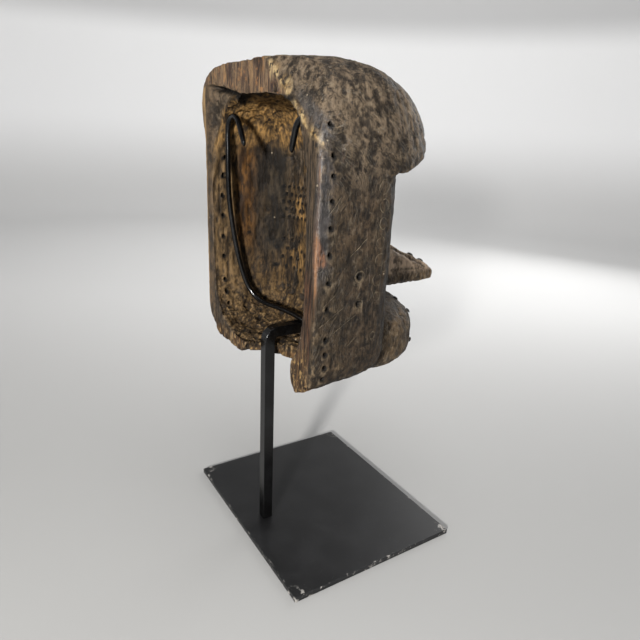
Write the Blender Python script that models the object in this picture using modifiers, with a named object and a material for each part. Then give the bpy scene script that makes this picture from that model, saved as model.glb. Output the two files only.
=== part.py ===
"""A carved wooden face mask with a domed brow and a beak, resting on its steel display stand.

Metres, Z up. The plate's underside is at z = 0 and its centre is the origin. The mask looks
along -Y and is open at the back. The stand's rod reaches into the hollow and carries it.
"""

import math

import bmesh
import bpy
from mathutils import Matrix, Vector

# Stand: base plate
PLATE_WIDTH = 0.220
PLATE_DEPTH = 0.180
PLATE_THICKNESS = 0.005
PLATE_EDGE = 0.0005

# Stand: square bar, upright and then forward into the mask
BAR = 0.010
POST_FROM_BACK_EDGE = 0.0267
BAR_UNDERSIDE = 0.2005
BAR_BEND = 0.004
BAR_EDGE = 0.0004
BAR_PAST_ROD = 0.004

# Stand: the round rod across the bar's end, its two arms and hooks
ROD = 0.005
ROD_INSIDE_RIM = 0.0515
ARM_INSIDE_RIM = 0.0120
ARM_FROM_WALL = 0.0100
HOOK_RADIUS = 0.0140
HOOK_TAIL_LEFT = 0.0210
HOOK_TAIL_RIGHT = 0.0170
HOOK_TURN_LEFT = math.radians(149)
HOOK_TURN_RIGHT = math.radians(161)
ROD_LEAN_RATIO = 1.75

# Mask: the box that the face is carved on
MASK_WIDTH = 0.211
MASK_HEIGHT = 0.2570
RIM_BEHIND_POST = 0.0170
CHEEK_DEPTH = 0.0930
WALL_SIDE = 0.0160
WALL_TOP = 0.0260
WALL_FACE = 0.0160
FLOOR_THICKNESS = 0.0140
FLOOR_UNDER_BAR = 0.0085
RIM_EDGE = 0.0030
CORNER_WEAR = 0.0260
CROWN_ASIDE = 0.0095
CROWN_SWELL = 0.0030
BOTTOM_RISE = 0.0108
BOTTOM_CORNER = 0.0300
SIDE_FLAT = 0.0450

# Mask: the domed brow
BROW_DEPTH = 0.1485
LIP_HEIGHT = 0.1845
LIP_THICKNESS = 0.0120
LIP_DROP = 0.0090
DOME_HEIGHT = 0.0570
DOME_CREST = 0.0300

# Mask: beak-shaped nose
BEAK_DEPTH = 0.2110
BEAK_ROOT_DEPTH = 0.0850
BEAK_UNDERSIDE = 0.0600
BEAK_RIDGE_ANGLE = math.radians(25.6)
BEAK_TIP_HEIGHT = 0.0118
BEAK_TIP_WIDTH = 0.0150
BEAK_ROOT_WIDTH = 0.0500

# Mask: muzzle with the mouth
MUZZLE_WIDTH = 0.160
MUZZLE_HEIGHT = 0.071
MUZZLE_DEPTH = 0.156
MUZZLE_MIDDLE = 0.0342
MUZZLE_SUNK = 0.010
MUZZLE_BACK = 0.0730  # reach of its back half, inside the walls
MOUTH_WIDTH = 0.092
MOUTH_GAP = 0.009
MOUTH_CUT = 0.016
MOUTH_BEND = 0.030
MOUTH_FLARE = 0.002
MOUTH_END_GAP = 0.0008

# Mask: drilled holes
ROW_HOLE = 0.0040
ROW_FROM_RIM = 0.0115
ROW_HEIGHTS_MM = (24, 34, 45, 57, 81, 101, 122, 141, 160, 177, 190, 210)
PERFORATION = 0.0032
EYE_ROWS = 5
EYE_COLUMNS = 6
EYE_PITCH = 0.0064
EYE_ROW_PITCH = 0.0074
EYE_OUT = 0.0555
EYE_HEIGHT = 0.1370
CHEEK_ROWS = 4
CHEEK_COLUMNS = 4
CHEEK_PITCH = 0.0110
CHEEK_ROW_PITCH = 0.0094
CHEEK_OUT = 0.0600
CHEEK_HEIGHT = 0.0850

# Notch in the bottom wall, where the post stands
NOTCH_ASIDE = -0.0280
NOTCH_FROM_POST = 0.0217
NOTCH_CLEARANCE = 0.0020
NOTCH_FLARE = 0.0100
NOTCH_FLARE_HEIGHT = 0.0110

# Iron tacks
TACK = 0.0080
TACK_HEIGHT = 0.0025
JAW_TACK = 0.0062
JAW_TACK_HEIGHT = 0.0020
BEAK_TACKS_FROM_TIP = (0.0300, 0.0150)
LOW_TACK_FROM_TIP = 0.0140
JAW_TACKS_DEGREES = ((36, 38), (40, 20), (40, -9), (40, -34))
GAP = 0.0003

# How far a cutter reaches past the surface that it cuts
PAST = 0.010

# Places worked out from the sizes above
POST_Y = PLATE_DEPTH / 2 - POST_FROM_BACK_EDGE
BAR_BOTTOM = PLATE_THICKNESS + BAR_UNDERSIDE
BAR_TOP = BAR_BOTTOM + BAR
RIM_Y = POST_Y + RIM_BEHIND_POST
MASK_Z = BAR_BOTTOM - FLOOR_UNDER_BAR - FLOOR_THICKNESS
HALF_WIDTH = MASK_WIDTH / 2
CAVITY_HALF = HALF_WIDTH - WALL_SIDE
CAVITY_DEPTH = CHEEK_DEPTH - WALL_FACE
CAVITY_LOW = FLOOR_THICKNESS
CAVITY_HIGH = MASK_HEIGHT - WALL_TOP
CAVITY_MIDDLE = (CAVITY_LOW + CAVITY_HIGH) / 2
CAVITY_RISE = (CAVITY_HIGH - CAVITY_LOW) / 2
DOME_START = MASK_HEIGHT - DOME_HEIGHT

# Squareness of the rounded forms: 2 is an ellipse, more is boxier
CHEEK_POWER = 3.0
BROW_POWER = 2.2
DOME_POWER = 4.0
CAVITY_POWER = 3.8
BOWL_POWER = 4.5
MUZZLE_POWER = 2.4
MUZZLE_TOP_POWER = 2.05
CHIN_POWER = 4.6
ROD_BEND_POWER = 9.0
ROD_LEAN_POWER = 1.25


def clear_scene():
    for old in list(bpy.data.objects):
        bpy.data.objects.remove(old, do_unlink=True)


def new_collection(name, hidden=False):
    made = bpy.data.collections.new(name)
    made.hide_render = hidden
    bpy.context.scene.collection.children.link(made)
    return made


def material(name, colour, roughness, metallic=0.0):
    made = bpy.data.materials.new(name)
    made.use_nodes = True
    shader = made.node_tree.nodes["Principled BSDF"]
    shader.inputs["Base Color"].default_value = (*colour, 1.0)
    shader.inputs["Roughness"].default_value = roughness
    shader.inputs["Metallic"].default_value = metallic
    return made


def add_mesh(name, mesh_data, finish, collection):
    made = bpy.data.objects.new(name, mesh_data)
    if finish:
        made.data.materials.append(finish)
    collection.objects.link(made)
    return made


def mesh_from(bm, name):
    bmesh.ops.recalc_face_normals(bm, faces=bm.faces)
    made = bpy.data.meshes.new(name)
    bm.to_mesh(made)
    bm.free()
    return made


def loft(name, rings):
    """A closed mesh through rings that all have the same number of points."""
    bm = bmesh.new()
    rows = [[bm.verts.new(point) for point in ring] for ring in rings]
    count = len(rows[0])
    for low, high in zip(rows, rows[1:]):
        for i in range(count):
            j = (i + 1) % count
            bm.faces.new((low[i], low[j], high[j], high[i]))
    bm.faces.new(rows[0])
    bm.faces.new(rows[-1])
    return mesh_from(bm, name)


def rod_along(start, end, diameter, sides, turn=0.0):
    """A plain cylinder from one point to another, as a bmesh to be joined with others."""
    bm = bmesh.new()
    axis = Vector(end) - Vector(start)
    place = Matrix.Translation((Vector(start) + Vector(end)) / 2)
    place = place @ axis.to_track_quat("Z", "Y").to_matrix().to_4x4() @ Matrix.Rotation(turn, 4, "Z")
    bmesh.ops.create_cone(
        bm, cap_ends=True, segments=sides, radius1=diameter / 2, radius2=diameter / 2,
        depth=axis.length, matrix=place,
    )
    return bm


def joined(name, parts):
    """One mesh from several separate closed bmeshes."""
    whole = bmesh.new()
    for part in parts:
        piece = bpy.data.meshes.new(name)
        part.to_mesh(piece)
        part.free()
        whole.from_mesh(piece)
        bpy.data.meshes.remove(piece)
    return mesh_from(whole, name)


def cutter(name, mesh_data):
    made = add_mesh(name, mesh_data, None, CUTTERS)
    made.hide_render = True
    made.display_type = "WIRE"
    return made


def combine(target, other, operation):
    step = target.modifiers.new(f"{operation.title()} {other.name}", "BOOLEAN")
    step.operation = operation
    step.solver = "EXACT"
    step.object = other


def smooth_shade(target, angle=40):
    target.data.shade_smooth()
    target.data.set_sharp_from_angle(angle=math.radians(angle))


def oval(power, share):
    """Width left at a share of the way up a rounded form, from 1 at the middle to 0 at the end."""
    return max(0.0, 1 - abs(share) ** power) ** (1 / power)


def smooth_step(share):
    """0 to 1 with a level start and end."""
    return share * share * (3 - 2 * share)


def signed_power(value, power):
    return math.copysign(abs(value) ** power, value)


def mask_point(aside, forward, height):
    """A point given across, in front of the rim and above the mask's lowest edge."""
    return Vector((aside, RIM_Y - forward, MASK_Z + height))


# Mask: outer form

def half_width_at(height):
    if height < BOTTOM_CORNER:
        return HALF_WIDTH * (1 - 0.25 * (1 - height / BOTTOM_CORNER) ** 2.2)
    return HALF_WIDTH * oval(DOME_POWER, max(0.0, height - DOME_START) / DOME_HEIGHT)


def lip_share(height):
    """0 under the brow's lip, 1 where the brow stands out in full."""
    part = min(1.0, max(0.0, (height - LIP_HEIGHT) / LIP_THICKNESS))
    return math.sqrt(1 - (1 - part) ** 2)


def front_at(height):
    """How far the middle of the front stands before the rim at this height."""
    if height < DOME_START:
        return CHEEK_DEPTH + (BROW_DEPTH - CHEEK_DEPTH) * lip_share(height)
    return DOME_CREST + (BROW_DEPTH - DOME_CREST) * oval(2, (height - DOME_START) / DOME_HEIGHT)


def side_end_at(height):
    """Where the flat side gives way to the rounded front."""
    return min(SIDE_FLAT, 0.45 * front_at(height))


def height_shift(aside, forward, height):
    """The brow's lip falls towards the temples, and the bottom rises towards the chin."""
    near_lip = max(0.0, 1 - abs(height - LIP_HEIGHT) / (2.2 * LIP_THICKNESS))
    falling = -LIP_DROP * (aside / HALF_WIDTH) ** 2 * near_lip * min(1.0, forward / SIDE_FLAT)
    near_bottom = max(0.0, 1 - height / (2 * BOTTOM_CORNER))
    rising = BOTTOM_RISE * forward / CHEEK_DEPTH * near_bottom
    return falling + rising + CROWN_SWELL * crown_share(height) * min(1.0, forward / SIDE_FLAT)


def crown_share(height):
    """0 up to the brow's lip, rising smoothly to 1 at the crown."""
    full = DOME_START + DOME_HEIGHT / 2
    return smooth_step(min(1.0, max(0.0, (height - LIP_HEIGHT) / (full - LIP_HEIGHT))))


def rim_corner(half, wear):
    """The rounded edge between the back and one side, as distances across and before the rim."""
    steps = 3
    corner = []
    for i in range(steps + 1):
        angle = math.pi / 2 * i / steps
        corner.append((half - wear * (1 - math.sin(angle)), 0.7 * wear * (1 - math.cos(angle))))
    return corner


def outer_ring(height, side_steps=4, front_steps=28):
    half = half_width_at(height)
    front = front_at(height)
    side_end = side_end_at(height)
    power = CHEEK_POWER + (BROW_POWER - CHEEK_POWER) * lip_share(height)
    worn = RIM_EDGE + min(CORNER_WEAR, 0.6 * half) * crown_share(height)
    corner_end = 0.7 * worn
    side = [(half, corner_end + (side_end - corner_end) * i / side_steps) for i in range(1, side_steps)]
    ring = rim_corner(half, RIM_EDGE) + side
    for i in range(front_steps + 1):
        angle = math.pi * i / front_steps
        across = signed_power(math.cos(angle), 2 / power)
        ahead = math.sin(angle) ** (2 / power) if 0 < i < front_steps else 0.0
        ring.append((half * across, side_end + (front - side_end) * ahead))
    ring += [(-across, ahead) for across, ahead in reversed(rim_corner(half, worn) + side)]
    aside = CROWN_ASIDE * crown_share(height)
    return [
        mask_point(across + aside, ahead, height + height_shift(across, ahead, height))
        for across, ahead in ring
    ]


def mask_levels():
    """Heights of the rings: closer together at the bottom edge, the brow's lip and the crown."""
    levels = [BOTTOM_CORNER * share for share in (0, 0.13, 0.3, 0.55, 1)]
    cheek_steps = 11
    cheek_rise = LIP_HEIGHT - 0.004 - BOTTOM_CORNER
    levels += [BOTTOM_CORNER + cheek_rise * i / cheek_steps for i in range(1, cheek_steps + 1)]
    for degrees in (0, 25, 45, 65, 90):
        levels.append(LIP_HEIGHT + LIP_THICKNESS * (1 - math.cos(math.radians(degrees))))
    crown_steps = 9
    crown = math.radians(80)
    for i in range(crown_steps + 1):
        levels.append(DOME_START + DOME_HEIGHT * math.sin(crown * i / crown_steps))
    return levels


# Mask: hollow

def cavity_ring(forward, points=44):
    """Outline of the hollow at a depth before the rim, shrinking into a bowl at the face."""
    share = min(1.0, max(0.0, forward) / CAVITY_DEPTH)
    scale = oval(BOWL_POWER, share)
    ring = []
    for i in range(points):
        angle = 2 * math.pi * (i + 0.5) / points
        across = signed_power(math.cos(angle), 2 / CAVITY_POWER)
        up = signed_power(math.sin(angle), 2 / CAVITY_POWER)
        ring.append(mask_point(
            CAVITY_HALF * scale * across, forward, CAVITY_MIDDLE + CAVITY_RISE * scale * up))
    return ring


def cavity_shape():
    shares = (0.0, 0.25, 0.45, 0.6, 0.72, 0.82, 0.9, 0.96, 0.99)
    rings = [cavity_ring(-PAST)] + [cavity_ring(CAVITY_DEPTH * share) for share in shares]
    return loft("hollow", rings)


def ceiling_at(aside, forward):
    """Height of the hollow's ceiling above the mask's lowest edge."""
    scale = oval(BOWL_POWER, forward / CAVITY_DEPTH)
    return CAVITY_MIDDLE + CAVITY_RISE * scale * oval(CAVITY_POWER, aside / (CAVITY_HALF * scale))


# Mask: muzzle, beak and cuts

def muzzle_point(turn, rise):
    """A point on the muzzle: turn sideways from straight ahead, rise from its middle."""
    middle_depth = CHEEK_DEPTH - MUZZLE_SUNK
    reach = MUZZLE_DEPTH - middle_depth if math.cos(turn) > 0 else MUZZLE_BACK
    upright = MUZZLE_TOP_POWER if rise > 0 else CHIN_POWER
    shrink = math.cos(rise) ** (2 / upright)
    across = signed_power(math.sin(turn), 2 / MUZZLE_POWER)
    ahead = signed_power(math.cos(turn), 2 / MUZZLE_POWER)
    up = signed_power(math.sin(rise), 2 / upright)
    return mask_point(
        MUZZLE_WIDTH / 2 * shrink * across,
        middle_depth + reach * shrink * ahead,
        MUZZLE_MIDDLE + MUZZLE_HEIGHT / 2 * up,
    )


def muzzle_shape():
    turns = 32
    tack_rises = [rise for turn, rise in JAW_TACKS_DEGREES]
    rises = [math.radians(degrees) for degrees in sorted([-82, -64, -48, -21, 5, 54, 70, 82] + tack_rises)]
    rings = []
    for rise in rises:
        rings.append([muzzle_point(2 * math.pi * (i + 0.5) / turns, rise) for i in range(turns)])
    return loft("muzzle", rings)


def ridge_at(forward):
    """Height of the beak's ridge: it falls from the brow to the tip at one angle."""
    tip = BEAK_UNDERSIDE + BEAK_TIP_HEIGHT
    return tip + (BEAK_DEPTH - forward) * math.tan(BEAK_RIDGE_ANGLE)


def beak_width_at(forward):
    share = (forward - BEAK_ROOT_DEPTH) / (BEAK_DEPTH - BEAK_ROOT_DEPTH)
    return BEAK_ROOT_WIDTH + (BEAK_TIP_WIDTH - BEAK_ROOT_WIDTH) * share ** 0.8


def beak_ring(forward, shrink=1.0):
    half = beak_width_at(forward) / 2 * shrink
    top = ridge_at(forward)
    bottom = BEAK_UNDERSIDE
    middle = (top + bottom) / 2
    high = (top - middle) * shrink
    outline = (
        (0.42, 1.0), (0.55, 0.86), (0.86, 0.55), (1.0, -0.1), (0.96, -0.8), (0.72, -1.0),
    )
    right = [(half * across, middle + high * up) for across, up in outline]
    left = [(-across, up) for across, up in reversed(right)]
    return [mask_point(across, forward, up) for across, up in right + left]


def beak_shape():
    reach = BEAK_DEPTH - BEAK_ROOT_DEPTH
    rings = [beak_ring(BEAK_ROOT_DEPTH + reach * share) for share in (0, 0.3, 0.55, 0.75, 0.92)]
    rings.append(beak_ring(BEAK_DEPTH - 0.003, 0.92))
    rings.append(beak_ring(BEAK_DEPTH, 0.62))
    return loft("beak", rings)


def mouth_shape():
    """A lens-shaped cut across the muzzle."""
    rings = []
    steps = 10
    front = MUZZLE_DEPTH + PAST
    for i in range(steps + 1):
        share = 2 * i / steps - 1
        back = MUZZLE_DEPTH - MOUTH_CUT - MOUTH_BEND * share ** 2
        half = (MOUTH_END_GAP + (MOUTH_GAP - MOUTH_END_GAP) * oval(2, share)) / 2
        low = MUZZLE_MIDDLE - half
        high = MUZZLE_MIDDLE + half
        across = MOUTH_WIDTH / 2 * share
        rings.append([
            mask_point(across, back, low), mask_point(across, front, low - MOUTH_FLARE),
            mask_point(across, front, high + MOUTH_FLARE), mask_point(across, back, high),
        ])
    return loft("mouth", rings)


def notch_shape():
    """The round bite in the bottom wall that the post stands in."""
    corner = BAR / 2 + abs(NOTCH_ASIDE)
    radius = math.hypot(corner, BAR / 2 + NOTCH_FROM_POST) + NOTCH_CLEARANCE
    centre_y = POST_Y + NOTCH_FROM_POST
    steps = 20
    low = MASK_Z - PAST
    high = MASK_Z + BOTTOM_CORNER + PAST
    levels = (
        (low, NOTCH_FLARE), (MASK_Z, NOTCH_FLARE), (MASK_Z + 0.4 * NOTCH_FLARE_HEIGHT, 0.35 * NOTCH_FLARE),
        (MASK_Z + NOTCH_FLARE_HEIGHT, 0.0), (high, 0.0),
    )
    rings = []
    for height, flare in levels:
        reach = radius + flare
        angles = [math.pi + math.pi * i / steps for i in range(steps + 1)]
        ring = [(NOTCH_ASIDE + reach * math.cos(a), centre_y + radius * math.sin(a)) for a in angles]
        ring += [(NOTCH_ASIDE + reach, RIM_Y + PAST), (NOTCH_ASIDE - reach, RIM_Y + PAST)]
        rings.append([(x, y, height) for x, y in ring])
    return loft("notch", rings)


def row_holes():
    """The row of holes along each side's rim, drilled straight through the wall."""
    reach = HALF_WIDTH + PAST
    inner = CAVITY_HALF - 2 * PAST
    parts = []
    for millimetres in ROW_HEIGHTS_MM:
        height = millimetres / 1000
        for side in (-1, 1):
            start = mask_point(side * inner, ROW_FROM_RIM, height)
            end = mask_point(side * reach, ROW_FROM_RIM, height)
            parts.append(rod_along(start, end, ROW_HOLE, 6))
    return joined("row_holes", parts)


def perforations():
    """Two staggered fields of small holes a side, through the face: the eyes and the cheeks."""
    fields = (
        (EYE_ROWS, EYE_COLUMNS, EYE_PITCH, EYE_ROW_PITCH, EYE_OUT, EYE_HEIGHT),
        (CHEEK_ROWS, CHEEK_COLUMNS, CHEEK_PITCH, CHEEK_ROW_PITCH, CHEEK_OUT, CHEEK_HEIGHT),
    )
    parts = []
    for rows, columns, pitch, row_pitch, out, middle in fields:
        for row in range(rows):
            height = middle + row_pitch * (row - (rows - 1) / 2)
            for column in range(columns - row % 2):
                aside = out + pitch * (column - (columns - 1) / 2 + 0.5 * (row % 2))
                for side in (-1, 1):
                    start = mask_point(side * aside, CAVITY_DEPTH * 0.55, height)
                    end = mask_point(side * aside, CHEEK_DEPTH + PAST, height)
                    parts.append(rod_along(start, end, PERFORATION, 5))
    return joined("perforations", parts)


def build_mask():
    body = add_mesh("mask", loft("mask", [outer_ring(level) for level in mask_levels()]), WOOD, PARTS)
    combine(body, cutter("muzzle_form", muzzle_shape()), "UNION")
    combine(body, cutter("beak_form", beak_shape()), "UNION")
    combine(body, cutter("hollow_cut", cavity_shape()), "DIFFERENCE")
    combine(body, cutter("notch_cut", notch_shape()), "DIFFERENCE")
    combine(body, cutter("mouth_cut", mouth_shape()), "DIFFERENCE")
    combine(body, cutter("row_hole_cut", row_holes()), "DIFFERENCE")
    combine(body, cutter("perforation_cut", perforations()), "DIFFERENCE")
    smooth_shade(body)


# Stand

def build_plate():
    bm = bmesh.new()
    bmesh.ops.create_cube(bm, size=1.0)
    bmesh.ops.scale(bm, vec=(PLATE_WIDTH, PLATE_DEPTH, PLATE_THICKNESS), verts=bm.verts)
    plate = add_mesh("base_plate", mesh_from(bm, "base_plate"), BLACK_STEEL, PARTS)
    plate.location.z = PLATE_THICKNESS / 2
    edge = plate.modifiers.new("Edge", "BEVEL")
    edge.width = PLATE_EDGE
    edge.segments = 1


def arc(centre, radius, start, end, steps):
    """Points along an arc, in degrees, in the plane of the bar's outline."""
    made = []
    for i in range(steps + 1):
        angle = math.radians(start + (end - start) * i / steps)
        made.append((centre[0] + radius * math.cos(angle), centre[1] + radius * math.sin(angle)))
    return made


def build_post():
    """The bar's outline in the Y-Z plane, as thick as it is wide."""
    bottom = PLATE_THICKNESS + GAP
    back = POST_Y + BAR / 2
    front = POST_Y - BAR / 2
    end = RIM_Y - ROD_INSIDE_RIM - BAR_PAST_ROD
    bend_centre = (front - BAR_BEND, BAR_BOTTOM - BAR_BEND)
    outline = [(front, bottom), (back, bottom)]
    outline += arc(bend_centre, BAR_BEND + BAR, 0, 90, 8)
    outline += [(end, BAR_TOP), (end, BAR_BOTTOM)]
    outline += arc(bend_centre, BAR_BEND, 90, 0, 6)
    rings = [[(x, y, z) for y, z in outline] for x in (-BAR / 2, BAR / 2)]
    post = add_mesh("post", loft("post", rings), BLACK_STEEL, PARTS)
    edge = post.modifiers.new("Edge", "BEVEL")
    edge.width = BAR_EDGE
    edge.segments = 1
    smooth_shade(post)


def hook_centre():
    """Middle of the hook's bend, as high as the hollow's rounded corner lets it go."""
    across = CAVITY_HALF - ARM_FROM_WALL - ROD / 2 - HOOK_RADIUS
    reach = HOOK_RADIUS + ROD / 2 + GAP
    height = math.inf
    for degrees in range(0, 91):
        angle = math.radians(degrees)
        ceiling = ceiling_at(across + reach * math.cos(angle), ARM_INSIDE_RIM)
        height = min(height, ceiling - reach * math.sin(angle))
    return across, height


def rod_shares(out_steps=14, up_steps=24):
    """The rod's bend seen from the front, as shares of its reach: out along the bar, then up."""
    middle = 0.5 ** (1 / ROD_BEND_POWER)
    out = [middle * i / out_steps for i in range(out_steps)]
    up = [middle * (1 - i / up_steps) for i in range(up_steps + 1)]
    return [(a, 1 - oval(ROD_BEND_POWER, a)) for a in out] + [(oval(ROD_BEND_POWER, b), 1 - b) for b in up]


def rod_route(turn, tail, turn_steps=9):
    """One half of the rod, from the bar's middle out, up the side and round the hook."""
    across, height = hook_centre()
    arm = across + HOOK_RADIUS
    level = BAR_TOP + GAP + ROD / 2 - MASK_Z
    points = []
    for out, up in rod_shares():
        part = min(1.0, ((out + up) / ROD_LEAN_RATIO) ** ROD_LEAN_POWER)
        forward = ROD_INSIDE_RIM + (ARM_INSIDE_RIM - ROD_INSIDE_RIM) * smooth_step(part)
        points.append(Vector((arm * out, forward, level + (height - level) * up)))
    for i in range(1, turn_steps + 1):
        angle = turn * i / turn_steps
        bend = Vector((math.cos(angle), 0, math.sin(angle))) * HOOK_RADIUS
        points.append(Vector((across, ARM_INSIDE_RIM, height)) + bend)
    return points + [points[-1] + Vector((-math.sin(turn), 0, math.cos(turn))) * tail]


def build_rod():
    left = rod_route(HOOK_TURN_LEFT, HOOK_TAIL_LEFT)
    right = rod_route(HOOK_TURN_RIGHT, HOOK_TAIL_RIGHT)
    points = [Vector((-p.x, p.y, p.z)) for p in reversed(right[1:])] + left
    curve = bpy.data.curves.new("cradle_rod", "CURVE")
    curve.dimensions = "3D"
    curve.bevel_depth = ROD / 2
    curve.bevel_resolution = 2
    curve.use_fill_caps = True
    spline = curve.splines.new("POLY")
    spline.points.add(len(points) - 1)
    for spot, point in zip(spline.points, points):
        spot.co = (*mask_point(point.x, point.y, point.z), 1.0)
    spline.use_smooth = True
    rod = bpy.data.objects.new("cradle_rod", curve)
    rod.data.materials.append(BLACK_STEEL)
    PARTS.objects.link(rod)


# Tacks

def tack_mesh(width, rise):
    """A domed head's profile, from its crown to its rim and back to its axis."""
    bm = bmesh.new()
    steps = 4
    profile = []
    for i in range(steps + 1):
        angle = math.pi / 2 * i / steps
        profile.append((width / 2 * math.sin(angle), rise * math.cos(angle)))
    profile.append((0.0, 0.0))
    spots = [bm.verts.new((x, 0.0, z)) for x, z in profile]
    for a, b in zip(spots, spots[1:]):
        bm.edges.new((a, b))
    made = bpy.data.meshes.new("tack")
    bm.to_mesh(made)
    bm.free()
    made.materials.append(IRON)
    return made


def add_tack(name, mesh, place, outward):
    tack = add_mesh(name, mesh, None, PARTS)
    turned = tack.modifiers.new("Turn", "SCREW")
    turned.steps = 10
    turned.render_steps = 10
    turned.use_merge_vertices = True
    turned.merge_threshold = 0.0001
    turned.use_normal_calculate = True
    direction = Vector(outward).normalized()
    tack.rotation_euler = direction.to_track_quat("Z", "Y").to_euler()
    tack.location = Vector(place) + direction * GAP


def build_tacks():
    large = tack_mesh(TACK, TACK_HEIGHT)
    small = tack_mesh(JAW_TACK, JAW_TACK_HEIGHT)
    slope = Vector((0, -math.sin(BEAK_RIDGE_ANGLE), math.cos(BEAK_RIDGE_ANGLE)))
    for number, back in enumerate(BEAK_TACKS_FROM_TIP, start=1):
        forward = BEAK_DEPTH - back
        add_tack(f"beak_tack_{number}", large, mask_point(0, forward, ridge_at(forward)), slope)
    tip_height = BEAK_UNDERSIDE + BEAK_TIP_HEIGHT / 2
    add_tack("beak_tack_3", large, mask_point(0, BEAK_DEPTH, tip_height), (0, -1, 0))
    below = mask_point(0, BEAK_DEPTH - LOW_TACK_FROM_TIP, BEAK_UNDERSIDE)
    add_tack("beak_tack_4", large, below, (0, 0, -1))
    for name, side in (("right", -1), ("left", 1)):
        for number, (turn, rise) in enumerate(JAW_TACKS_DEGREES, start=1):
            turn = side * math.radians(turn)
            rise = math.radians(rise)
            spot = muzzle_point(turn, rise)
            along = muzzle_point(turn + 0.02, rise) - muzzle_point(turn - 0.02, rise)
            up = muzzle_point(turn, rise + 0.02) - muzzle_point(turn, rise - 0.02)
            add_tack(f"jaw_tack_{name}_{number}", small, spot, along.cross(up))


clear_scene()
PARTS = new_collection("dan_mask_on_stand")
CUTTERS = new_collection("cutters", hidden=True)
WOOD = material("dark_carved_wood", (0.060, 0.040, 0.027), 0.62)
BLACK_STEEL = material("black_painted_steel", (0.012, 0.012, 0.013), 0.38)
IRON = material("aged_iron", (0.050, 0.048, 0.047), 0.45, 0.85)
build_plate()
build_post()
build_rod()
build_mask()
build_tacks()
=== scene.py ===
"""Looks of the carved wooden mask on its steel stand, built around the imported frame.

Metres, Z up, in the frame's own axes: the mask looks along -Y and its hollow opens along +Y.
Places on the mask are given as aside (X), forward (before the rim) and height (above its foot).
"""

import itertools
import math

import bmesh
import bpy
import numpy as np
from mathutils import Matrix, Vector


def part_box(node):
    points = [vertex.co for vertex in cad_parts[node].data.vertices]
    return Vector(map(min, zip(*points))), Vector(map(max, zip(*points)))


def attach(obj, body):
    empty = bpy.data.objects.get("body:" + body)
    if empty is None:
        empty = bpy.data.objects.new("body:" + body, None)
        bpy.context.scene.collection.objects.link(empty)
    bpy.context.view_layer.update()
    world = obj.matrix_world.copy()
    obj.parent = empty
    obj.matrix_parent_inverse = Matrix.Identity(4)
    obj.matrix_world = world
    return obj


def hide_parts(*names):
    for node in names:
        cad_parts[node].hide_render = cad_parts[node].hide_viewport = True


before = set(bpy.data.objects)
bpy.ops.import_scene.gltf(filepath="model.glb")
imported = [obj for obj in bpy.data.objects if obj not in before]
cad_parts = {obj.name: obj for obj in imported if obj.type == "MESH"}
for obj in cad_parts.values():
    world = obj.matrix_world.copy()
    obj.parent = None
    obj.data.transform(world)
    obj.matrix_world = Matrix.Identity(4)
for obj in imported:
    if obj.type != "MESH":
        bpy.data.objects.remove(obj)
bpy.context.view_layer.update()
MASK_LOW, MASK_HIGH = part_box("mask")
RIM_Y = MASK_HIGH[1]
FOOT_Z = MASK_LOW[2]
PLATE_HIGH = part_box("base_plate")[1]

# Camera, solved from the plate's corners in the photo
CAMERA_PLACE = (-0.42835, 0.28316, 0.38978)
CAMERA_LOOK = (0.79394, -0.51250, -0.32712)
CAMERA_ROLL = math.radians(2.58)
CAMERA_LENS_MM = 31.05
CAMERA_SENSOR_MM = 36.0

# Mask mesh
VOXEL = 0.0010
MOST_TRIANGLES = 190000

# The hollow, as in the solid
HOLLOW_HALF = 0.0895
HOLLOW_DEPTH = 0.0770
HOLLOW_MIDDLE = 0.1225
HOLLOW_RISE = 0.1085
HOLLOW_POWER = 3.8
BOWL_POWER = 4.5

# Row of holes beside the rim, and single holes, as (forward, height)
ROW_FORWARD = 0.0115
ROW_HEIGHTS = (0.024, 0.034, 0.045, 0.057, 0.081, 0.101, 0.122, 0.141, 0.160, 0.177, 0.190, 0.210)
SINGLE_HOLES = ((0.0394, 0.1041), (0.0399, 0.0825))
HOLE_RADIUS = 0.0019

# The two perforated fields, as (rows, columns, pitch, row pitch, aside, height)
FIELDS = ((5, 6, 0.0064, 0.0074, 0.0555, 0.1370), (4, 4, 0.0110, 0.0094, 0.0600, 0.0850))
PERFORATION_RADIUS = 0.0016

# How far the painted shade, and the calmer relief, reach round a hole, in radii
HOLE_FADE = 1.7

# Incised rings on the side wall, as (forward, height, radius)
RINGS = (
    (0.0579, 0.1285, 0.0045), (0.0586, 0.1154, 0.0048), (0.0569, 0.0999, 0.0047),
    (0.0572, 0.0863, 0.0034), (0.0572, 0.1698, 0.0052), (0.0562, 0.0542, 0.0030),
    (0.0394, 0.1041, 0.0044), (0.0399, 0.0825, 0.0034), (0.0590, 0.1560, 0.0050),
    (0.0592, 0.1430, 0.0044), (0.0655, 0.1090, 0.0040),
)
RING_LINE = 0.0005

# Long scratches on the side wall, as (forward, height) of both ends
SCRATCHES = (
    ((0.0070, 0.0837), (0.0207, 0.0945)), ((0.0041, 0.0681), (0.0264, 0.0820)),
    ((0.0168, 0.0617), (0.0381, 0.0743)), ((0.0015, 0.1109), (0.0083, 0.1127)),
    ((0.0083, 0.1127), (0.0106, 0.1035)), ((0.0300, 0.0480), (0.0400, 0.0560)),
    ((0.0080, 0.1500), (0.0190, 0.1640)), ((0.0300, 0.1200), (0.0440, 0.1330)),
)
SCRATCH_LINE = 0.0005

# The jagged lower edge of the worn top band on the rim, as (aside, height)
BAND_EDGE = (
    (-0.0600, 0.2300), (-0.0362, 0.2313), (-0.0155, 0.2300), (0.0071, 0.2313),
    (0.0314, 0.2338), (0.0581, 0.2380), (0.0787, 0.2406), (0.1150, 0.2440),
)

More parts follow.
